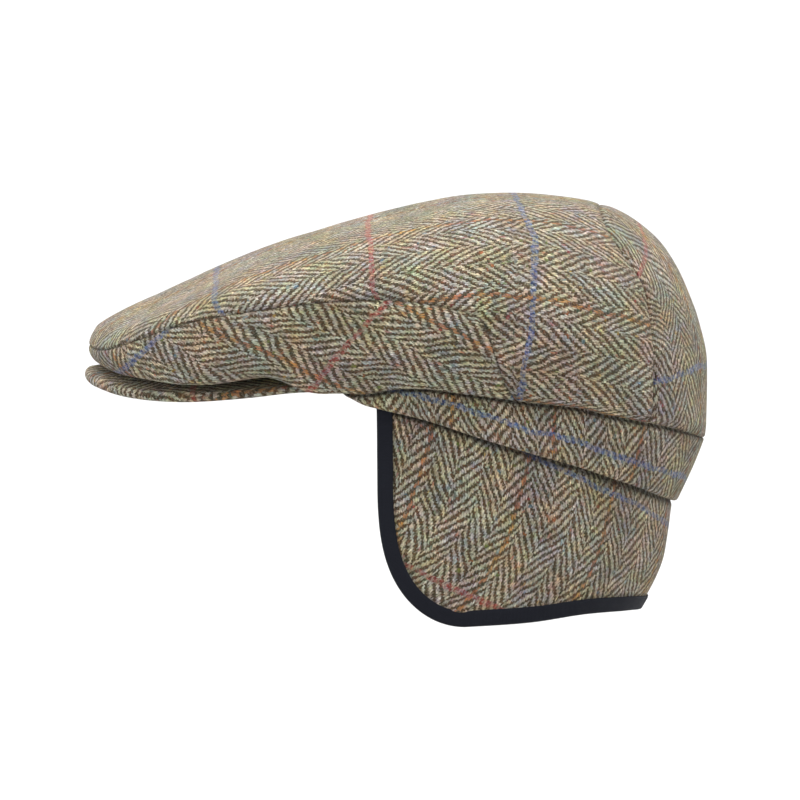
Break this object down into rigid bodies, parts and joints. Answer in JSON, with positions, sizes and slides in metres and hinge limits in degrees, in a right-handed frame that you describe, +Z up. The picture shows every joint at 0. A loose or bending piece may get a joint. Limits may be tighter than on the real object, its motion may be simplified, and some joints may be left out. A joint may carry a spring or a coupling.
{
  "type": "earflap flat cap",
  "caption": "Herringbone tweed flat cap with a forward-sloping crown, short hidden peak, slanting band and a bound flap that covers the ears and nape.",
  "frame": {"origin": "the middle of the head opening, on the wearer's centre line and level with the crown's rim at the ears", "axes": "+Z up as worn, -Y towards the peak at the front, +X towards the wearer's left"},
  "size_m": [0.195, 0.2757, 0.1864],
  "materials": {
    "tweed": "woven wool herringbone, matt and hairy",
    "binding_tape": "plain woven navy tape, matt"
  },
  "bodies": {
    "root": {"top_panel": "tweed", "side_panel_left": "tweed", "side_panel_right": "tweed", "back_panel": "tweed", "peak": "tweed", "band": "tweed", "neck_flap": "tweed", "flap_binding": "binding_tape"}
  },
  "joints": []
}
